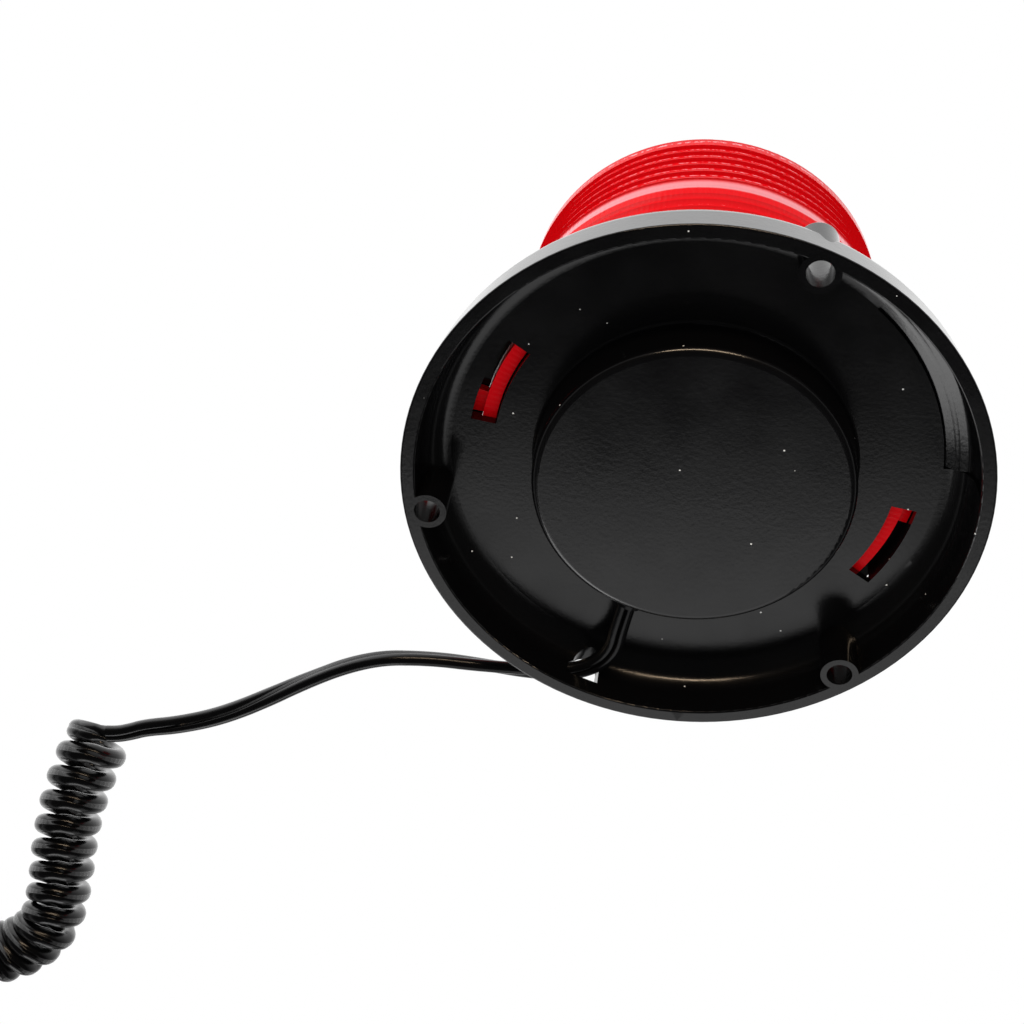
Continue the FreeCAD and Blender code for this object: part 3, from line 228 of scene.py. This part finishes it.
def coil_stations(axis, flip):
    """The same through the coil: leaning turns round its axis, with the wide side along it."""
    run = walked(axis)
    marks = [0.0]
    while marks[-1] < run[-1]:
        marks.append(marks[-1] + keyed(COIL_PITCH, marks[-1]) / STEPS_PER_TURN)
    # whole turns, so that the last one ends on the floor as the first one starts
    steps = (len(marks) - 1) // STEPS_PER_TURN * STEPS_PER_TURN
    stretch = run[-1] / marks[steps]
    for i, mark in enumerate(marks[1:steps + 1], 1):
        along, turn = mark * stretch, i * 2 * math.pi / STEPS_PER_TURN
        middle, heading = at_distance(axis, run, min(along, run[-1]))
        side, lean = UP.cross(heading), keyed(COIL_LEAN, along)
        swell = min(1.0, along / SWELL_RUN, max(0.0, run[-1] - along) / SWELL_RUN)
        wide = (heading - UP * lean).normalized()
        outward = side * math.sin(turn) - (UP + heading * lean) * math.cos(turn)
        half_height = LOBE_R + (COIL_LOBE_R - LOBE_R) * swell + LOBE_OFF * abs(wide.z)
        yield off_floor(middle + outward * COIL_MEAN_R, half_height), wide * flip, swell


def tail_stations(start, flip):
    """The same from the coil's end to the plug, with the wide side level."""
    line = spline_points([tuple(start)] + TAIL_ROUTE)[1:]
    for i, place in enumerate(line):
        yield off_floor(place, LOBE_R), heading_at(line, i).cross(UP).normalized() * flip, 0.0


def cord_stations():
    """The whole cord: out of the base, round the coil's turns and on to the plug."""
    stations = list(lead_stations())
    axis = spline_points(COIL_ROUTE)
    start = at_distance(axis, walked(axis), 0.0)[1]
    flip = 1 if stations[-1][1].dot(start) > 0 else -1      # no half twist where the coil begins
    stations += coil_stations(axis, flip)
    stations += tail_stations(stations[-1][0], flip)
    return stations


def cord_outline(swell):
    """The cord's section: a flat twin where swell is 0, nearly round where it is 1."""
    radius = LOBE_R + (COIL_LOBE_R - LOBE_R) * swell
    off = LOBE_OFF + (COIL_LOBE_OFF - LOBE_OFF) * swell
    outline, half = [], math.acos(-off / radius)
    for side in (1, -1):
        for i in range(LOBE_POINTS):
            a = -half + 2 * half * i / (LOBE_POINTS - 1)
            outline.append((side * (off + radius * math.cos(a)), side * radius * math.sin(a)))
    return outline


def cord_mesh(name, stations):
    """The cord's section swept along its stations."""
    places = [place for place, wide, swell in stations]
    bm = bmesh.new()
    uv = bm.loops.layers.uv.new("along")
    rings = []
    for i, (place, wide, swell) in enumerate(stations):
        heading = heading_at(places, i)
        across = (wide - heading * wide.dot(heading)).normalized()
        through = heading.cross(across)
        outline = cord_outline(swell)
        rings.append([bm.verts.new(place + across * a + through * b) for a, b in outline])
    count = len(rings[0])
    run = walked(places)
    for i, (low, high) in enumerate(zip(rings, rings[1:])):
        for j in range(count):
            face = bm.faces.new((low[j], low[(j + 1) % count], high[(j + 1) % count], high[j]))
            face.smooth = True
            for loop, (u, v) in zip(face.loops, ((i, j), (i, j + 1), (i + 1, j + 1), (i + 1, j))):
                loop[uv].uv = (run[u], v / count)
    bm.faces.new(list(reversed(rings[0])))
    bm.faces.new(rings[-1])
    bmesh.ops.recalc_face_normals(bm, faces=bm.faces)
    return finished(bm, name)


# ---- how materials are made --------------------------------------------------------------------
MM_PER_M = 1000             # patterns are sized in millimetres, and lie on the pieces' own metres
NOISE_DETAIL = 3.0
NOISE_LOW, NOISE_HIGH = 0.3, 0.7        # nearly all of the noise lies between them
MIX_FACTOR, MIX_A, MIX_B = 0, 6, 7      # the Mix node's inputs for colours
MIX_COLOUR = 2                          # and its output


def linear(code):
    """A colour from its sRGB hex code."""
    channels = [int(code[i:i + 2], 16) / 255 for i in (0, 2, 4)]
    return tuple(c / 12.92 if c <= 0.04045 else ((c + 0.055) / 1.055) ** 2.4 for c in channels) + (1,)


def feed(tree, node, sockets):
    """Give a node's inputs, by name or number, a value or the output (or node) that feeds them."""
    for key, source in sockets.items():
        if isinstance(source, bpy.types.Node):
            source = source.outputs[0]
        if isinstance(source, bpy.types.NodeSocket):
            tree.links.new(source, node.inputs[key])
        else:
            node.inputs[key].default_value = source


def add(tree, kind, sockets=None, **settings):
    """Add a node with its settings and what feeds its inputs."""
    node = tree.nodes.new("ShaderNode" + kind)
    for name, value in settings.items():
        setattr(node, name, value)
    feed(tree, node, sockets or {})
    return node


def shader_of(made):
    return made.node_tree.nodes["Principled BSDF"]


def material(name, colour, rough, metal=0.0, **sockets):
    """A Principled material. Other sockets go by name, with _ for a space."""
    made = bpy.data.materials.new(name)
    made.use_nodes = True
    named = {socket.replace("_", " "): value for socket, value in sockets.items()}
    settings = {"Base Color": linear(colour), "Roughness": rough, "Metallic": metal, **named}
    feed(made.node_tree, shader_of(made), settings)
    return made


def patches(tree, size_mm):
    """Noise with patches of about this size, fixed to the piece."""
    place = add(tree, "TexCoord").outputs["Object"]
    return add(tree, "TexNoise", {"Vector": place, "Scale": MM_PER_M / size_mm, "Detail": NOISE_DETAIL})


def uneven_gloss(made, size_mm, low, high):
    """Let the roughness drift from low to high between patches."""
    tree = made.node_tree
    level = add(tree, "MapRange", {"Value": patches(tree, size_mm), "From Min": NOISE_LOW,
                                   "From Max": NOISE_HIGH, "To Min": low, "To Max": high})
    feed(tree, shader_of(made), {"Roughness": level})


def raised(made, height, depth_mm):
    """Bump the surface by a height, which depth_mm multiplies."""
    tree = made.node_tree
    relief = add(tree, "Bump", {"Height": height, "Distance": depth_mm / MM_PER_M, "Strength": 1.0})
    feed(tree, shader_of(made), {"Normal": relief})


def dusted(made, base, dust, apart_mm, across_mm, share):
    """Small round grains of dust, about so far apart, on a share of the places."""
    tree = made.node_tree
    place = add(tree, "TexCoord").outputs["Object"]
    cells = add(tree, "TexVoronoi", {"Vector": place, "Scale": MM_PER_M / apart_mm})
    near = add(tree, "Math", {0: cells.outputs["Distance"], 1: across_mm / apart_mm / 2},
               operation="LESS_THAN")
    pick = add(tree, "SeparateColor", {0: cells.outputs["Color"]})
    chosen = add(tree, "Math", {0: pick, 1: share}, operation="LESS_THAN")
    grains = add(tree, "Math", {0: near, 1: chosen}, operation="MULTIPLY")
    colour = add(tree, "Mix", {MIX_FACTOR: grains, MIX_A: linear(base), MIX_B: linear(dust)},
                 data_type="RGBA")
    feed(tree, shader_of(made), {"Base Color": colour.outputs[MIX_COLOUR]})


def dress(made, *names):
    for name in names:
        mesh = nodes[name].data
        mesh.materials.clear()
        mesh.materials.append(made)
        for polygon in mesh.polygons:
            polygon.material_index = 0


# ---- moulded clear red polycarbonate: the lens --------------------------------------------------
# Its rings and flutes bend the light so much that it reads as an even deep red, with little mirror shine.
# Pale light gathers in the smooth band between the two sets of rings, and in short dashes along the rings
# on the -Y side; both are painted highlights in its colour. The upper part of each ring is painted a deeper
# red as shade.
LENS_RED, LENS_SHADE_RED, LENS_HIGHLIGHT = "e00814", "c8030c", "f2b4c2"
LENS_FLUTES = 220           # fine upright flutes over the ones that are moulded inside
LENS_FLUTE_MM = 0.02        # depth of their bump
RING_PITCH = 0.0050
RING_SHADE = (0.55, 0.95)   # share of a ring's height over which it goes from red to the deeper red of its painted shade
LOW_RINGS_Z = 0.035
BAND_Z = (0.0674, 0.0747)   # the smooth band
BAND_MARGIN = 0.002         # between the lower rings' dashes and the band
BAND_FOOT = (-0.0002, 0.0006)       # round the band's lower edge, where its painted highlight comes up
BAND_HIGHLIGHT = 0.5
BAND_FADE = 0.0030          # the painted highlight fades out again over this height under its upper edge
# painted glints along the rings
GLINT_DASH_MM = 1.25
GLINT_DASH_LEVELS = (0.47, 0.58)  # of the noise, between which a dash comes up
GLINT_DASH_PALE = 0.75
GLINT_DASH_HALF = 0.09            # half a dash's height, as a share of a ring's
GLINT_DASH_Y = (-0.020, -0.046)   # the painted glints are faint at the first and full at the second
GLINT_DASH_FAINT = 0.12


def lens_plastic():
    made = material("moulded red polycarbonate", LENS_RED, rough=0.16, IOR=1.58, Transmission_Weight=0.05,
                    Specular_IOR_Level=0.01, Coat_Weight=0.05, Coat_Roughness=0.06)
    tree = made.node_tree
    split = add(tree, "SeparateXYZ", {0: add(tree, "TexCoord").outputs["Object"]})
    x, y, z = split.outputs

    # the place within a ring, from 0 at its foot to 1
    count = add(tree, "Math", {0: z, 1: RING_PITCH}, operation="DIVIDE")
    ring = add(tree, "Math", {0: count}, operation="FRACT")
    # painted shade: over the upper part of each ring the red darkens to a deeper red
    shade = add(tree, "MapRange", {"Value": ring, "From Min": RING_SHADE[0], "From Max": RING_SHADE[1],
                                   "To Min": 0.0, "To Max": 1.0})
    red = add(tree, "Mix", {MIX_FACTOR: shade, MIX_A: linear(LENS_RED), MIX_B: linear(LENS_SHADE_RED)},
              data_type="RGBA")

    # painted glints: pale dashes half way up the rings, fullest on the -Y side
    offset = add(tree, "Math", {0: ring, 1: 0.5}, operation="SUBTRACT")
    away = add(tree, "Math", {0: offset}, operation="ABSOLUTE")
    half_way = add(tree, "Math", {0: away, 1: GLINT_DASH_HALF}, operation="LESS_THAN")
    above = add(tree, "Math", {0: z, 1: BAND_Z[1]}, operation="GREATER_THAN")
    under = add(tree, "Math", {0: z, 1: BAND_Z[0] - BAND_MARGIN}, operation="LESS_THAN")
    over = add(tree, "Math", {0: z, 1: LOW_RINGS_Z}, operation="GREATER_THAN")
    below = add(tree, "Math", {0: under, 1: over}, operation="MULTIPLY")
    ringed = add(tree, "Math", {0: above, 1: below}, operation="MAXIMUM")
    lines = add(tree, "Math", {0: half_way, 1: ringed}, operation="MULTIPLY")
    broken = add(tree, "MapRange", {"Value": patches(tree, GLINT_DASH_MM), "From Min": GLINT_DASH_LEVELS[0],
                                    "From Max": GLINT_DASH_LEVELS[1], "To Min": 0.0, "To Max": GLINT_DASH_PALE})
    lit = add(tree, "MapRange", {"Value": y, "From Min": GLINT_DASH_Y[0], "From Max": GLINT_DASH_Y[1],
                                 "To Min": GLINT_DASH_FAINT, "To Max": 1.0})
    glints = add(tree, "Math", {0: broken, 1: lit}, operation="MULTIPLY")
    dashes = add(tree, "Math", {0: lines, 1: glints}, operation="MULTIPLY")

    # painted highlight along the smooth band
    foot = add(tree, "MapRange", {"Value": z, "From Min": BAND_Z[0] + BAND_FOOT[0],
                                  "From Max": BAND_Z[0] + BAND_FOOT[1], "To Min": 0.0, "To Max": BAND_HIGHLIGHT})
    head = add(tree, "MapRange", {"Value": z, "From Min": BAND_Z[1] - BAND_FADE, "From Max": BAND_Z[1],
                                  "To Min": 1.0, "To Max": 0.0})
    band = add(tree, "Math", {0: foot, 1: head}, operation="MULTIPLY")
    # the painted glints and the band's painted highlight, mixed into the red
    pale = add(tree, "Math", {0: dashes, 1: band}, operation="MAXIMUM")
    colour = add(tree, "Mix", {MIX_FACTOR: pale, MIX_A: red.outputs[MIX_COLOUR], MIX_B: linear(LENS_HIGHLIGHT)},
                 data_type="RGBA")
    feed(tree, shader_of(made), {"Base Color": colour.outputs[MIX_COLOUR]})

    # upright flutes
    angle = add(tree, "Math", {0: y, 1: x}, operation="ARCTAN2")
    turned = add(tree, "Math", {0: angle, 1: LENS_FLUTES}, operation="MULTIPLY")
    raised(made, add(tree, "Math", {0: turned}, operation="SINE"), LENS_FLUTE_MM)
    return made


dress(lens_plastic(), "lens")


# ---- moulded black ABS: the pan -----------------------------------------------------------------
# Nearly black and glossy. Handling leaves patches of more and less polish, three to 50 mm. The moulding
# leaves a faint grain, drawn at nine to 10 mm, which is coarser than the real one so that it shows. Pale
# grains of dust lie on it.
def pan_plastic():
    black = "060607"
    made = material("moulded black ABS", black, rough=0.22, Specular_IOR_Level=0.6)
    uneven_gloss(made, size_mm=50 / 3, low=0.15, high=0.22)
    raised(made, patches(made.node_tree, size_mm=10 / 9), depth_mm=0.02)
    dusted(made, black, "dededa", apart_mm=6, across_mm=0.48, share=0.7)
    return made


black_plastic = pan_plastic()
dress(black_plastic, "base_pan")


# ---- extruded black PVC: the cord, its ends and the motor's lead ----------------------------------
# Black with a soft gloss, and less mirror shine than the pan. Its faint ripple is drawn at seven to 10 mm,
# coarser than the real one.
def cord_sheath():
    made = material("extruded black PVC", "060607", rough=0.22, Specular_IOR_Level=0.3)
    raised(made, patches(made.node_tree, size_mm=10 / 7), depth_mm=0.02)
    return made


cord_black = cord_sheath()
dress(cord_black, "cord_grommet", "cord_end", "motor_lead", "plug_boot")


# ---- pressed zinc plated steel: grey, with a shine that drifts between patches, three to 20 mm -----
def zinc_sheet():
    made = material("zinc plated steel sheet", "b9b8b0", rough=0.35, metal=1.0)
    uneven_gloss(made, size_mm=20 / 3, low=0.28, high=0.45)
    return made


dress(zinc_sheet(), "chassis_plate", "magnet_yoke", "motor_bracket")

# ---- finishes with no pattern of their own, on the works under the lens and on the plug -----------
# moulded rubber: matt black
dress(material("moulded black rubber", "101010", rough=0.6), "lens_seal")
# turned and wound steel, bright plated: clean highlights
dress(material("bright plated steel", "c4c4c6", rough=0.25, metal=1.0),
      "chassis_screws", "retaining_ring", "reflector_screws", "idler_axle", "magnet_screw", "lamp_spring",
      "bracket_pillars", "bracket_screws", "motor_can", "motor_shaft", "plug_spring")
# moulded nylon with no pigment: waxy cream
dress(material("moulded natural nylon", "e2ddcb", rough=0.45), "centre_hub")
# moulded acetal: a cleaner white, a little glossier
dress(material("moulded white acetal", "e8e6df", rough=0.4),
      "reflector_carrier", "idler_gear", "motor_end_cap")
# plastic with aluminium evaporated on it: nearly a mirror
dress(material("metallised reflector", "e6e6e8", rough=0.06, metal=1.0), "reflector")
# sintered ferrite: dull dark grey
dress(material("sintered ferrite", "232325", rough=0.7), "magnet_ring")
# turned brass: warm, with soft highlights
dress(material("turned brass", "c9a355", rough=0.3, metal=1.0),
      "lamp_holder", "lamp_cap", "motor_pinion")
# punched phenolic board: dull brown
dress(material("brown phenolic board", "5a3520", rough=0.6), "lamp_insulator", "lamp_plunger")
# blown glass: clear and smooth
dress(material("clear glass", "ffffff", rough=0.02, IOR=1.5, Transmission_Weight=1.0),
      "lamp_glass", "plug_fuse")
# drawn tungsten wire: dull grey
dress(material("tungsten wire", "777777", rough=0.5, metal=1.0), "lamp_filament")
# extruded PVC: plain red with a soft gloss
dress(material("extruded red PVC", "9c1010", rough=0.4), "lamp_lead")
# moulded nylon, black: a softer gloss than the pan's
dress(material("moulded black nylon", "0d0d0e", rough=0.35), "plug_body", "plug_nose_ring")
# nickel plated brass: bright and slightly warm
dress(material("nickel plated brass", "c9c5bb", rough=0.22, metal=1.0),
      "plug_tip", "plug_contact_left", "plug_contact_right")

stations = cord_stations()
places = [place for place, wide, swell in stations]
cord = cord_mesh("cord", stations)
cord.data.materials.append(cord_black)
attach(cord, "base")
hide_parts("cord_tube", "cord_coil", "cord_tail")
round(walked(places)[-1], 2)

# ---- guards on the bayonet catches: a lid over each slot, and a filler at the catch's stop ----------
CATCHES = (("east", 10), ("west", 190))     # degrees at which each catch's slot starts
GUARD_IN_R, GUARD_OUT_R = 0.05475, 0.0594
GUARD_Z = (0.02155, 0.0244)
GUARD_SPAN = (-2.3, 30)                     # degrees from the slot's start
STOP_OUT_R = 0.0553
STOP_SPAN = (-2.3, -0.1)
DECK_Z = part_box("lens")[0][2] - 0.0003      # the lens stands this little above the pan's deck
STEPS_PER_RADIAN = 30


def turned_block(bm, radii, heights, angles):
    """A block that follows the lens round, between two angles."""
    (inner, outer), (low, high) = radii, heights
    section = ((inner, low), (outer, low), (outer, high), (inner, high))
    corners = [bm.verts.new((r, 0, z)) for r, z in section]
    face = bm.faces.new(corners)
    bmesh.ops.rotate(bm, verts=corners, matrix=Matrix.Rotation(math.radians(angles[0]), 3, "Z"))
    span = math.radians(angles[1] - angles[0])
    bmesh.ops.spin(bm, geom=[face], axis=UP, angle=span, steps=max(2, round(span * STEPS_PER_RADIAN)))


def add_guard(name, start):
    bm = bmesh.new()
    turned_block(bm, (GUARD_IN_R, GUARD_OUT_R), GUARD_Z, [start + a for a in GUARD_SPAN])
    turned_block(bm, (GUARD_IN_R, STOP_OUT_R), (DECK_Z, GUARD_Z[0]), [start + a for a in STOP_SPAN])
    bmesh.ops.recalc_face_normals(bm, faces=bm.faces[:])
    piece = finished(bm, name)
    piece.data.materials.append(black_plastic)
    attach(piece, "base")


for side, start in CATCHES:
    add_guard("catch_guard_" + side, start)

# ---- floor, light and background --------------------------------------------------------------
FLOOR_HALF = 1.5
WHITE = "ffffff"
# two heights in the sky, from -1 to 1, and the strengths there
EVEN = (-1.0, 0.9, 0.85, 1.1)       # light on the object
GLOSS = (-0.35, 0.9, 0.02, 1.9)     # of what its gloss reflects, nearly black below
# name, place, the point it faces, sides, watts, colour
LIGHTS = [
    ("low", (0.0, 0.95, -0.74), (0, 0.05, 0), (0.8, 0.8), 1.6, WHITE),
    ("left", (-0.55, -0.35, 0.35), (0, 0, 0.05), (0.7, 0.7), 2, WHITE),
    ("cove", (0.0, -1.3, -0.45), (0, 0.05, 0), (1.0, 0.12), 8, "ffe2c0"),
    ("side", (-0.43, 1.05, -0.58), (0.06, 0, 0.01), (0.5, 0.5), 2, WHITE),
]


def add_floor():
    """A pale floor that shows from above only, so that a camera below it sees the base."""
    bm = bmesh.new()
    bmesh.ops.create_grid(bm, x_segments=1, y_segments=1, size=FLOOR_HALF)
    floor = finished(bm, "floor")
    paint = material("pale floor", "e9e9e7", rough=0.8)
    tree = paint.node_tree
    below = add(tree, "NewGeometry").outputs["Backfacing"]
    shown = add(tree, "MixShader", {0: below, 1: shader_of(paint), 2: add(tree, "BsdfTransparent")})
    feed(tree, tree.nodes["Material Output"], {"Surface": shown})
    floor.data.materials.append(paint)
    floor.visible_diffuse = False
    floor.visible_glossy = False
    floor.visible_transmission = False
    floor.visible_shadow = False


def add_light(name, at, towards, sides, power, colour):
    data = bpy.data.lights.new(name, "AREA")
    data.shape = "RECTANGLE"
    data.size, data.size_y = sides
    data.energy = power
    data.color = linear(colour)[:3]
    light = bpy.data.objects.new(name, data)
    scene.collection.objects.link(light)
    light.location = at
    light.rotation_euler = (Vector(towards) - Vector(at)).to_track_quat("-Z", "Y").to_euler()


def add_world():
    """White to the camera, even light on the object, and a gradient, brightest overhead, in its gloss."""
    world = bpy.data.worlds.new("studio")
    world.use_nodes = True
    scene.world = world
    tree = world.node_tree
    tree.nodes.clear()
    place = add(tree, "TexCoord").outputs["Generated"]
    height = add(tree, "SeparateXYZ", {0: place}).outputs["Z"]

    def gradient(low, high, dim, bright):
        level = add(tree, "MapRange", {"Value": height, "From Min": low, "From Max": high,
                                       "To Min": dim, "To Max": bright})
        return add(tree, "Background", {"Strength": level})

    ray = add(tree, "LightPath").outputs
    white = add(tree, "Background", {"Color": linear(WHITE)})
    clear = add(tree, "Math", {0: ray["Is Camera Ray"], 1: ray["Is Transmission Ray"]}, operation="MAXIMUM")
    lit = add(tree, "MixShader", {0: ray["Is Glossy Ray"], 1: gradient(*EVEN), 2: gradient(*GLOSS)})
    seen = add(tree, "MixShader", {0: clear, 1: lit, 2: white})
    add(tree, "OutputWorld", {"Surface": seen})


add_floor()
add_world()
for light in LIGHTS:
    add_light(*light)
scene.view_settings.view_transform = "Standard"
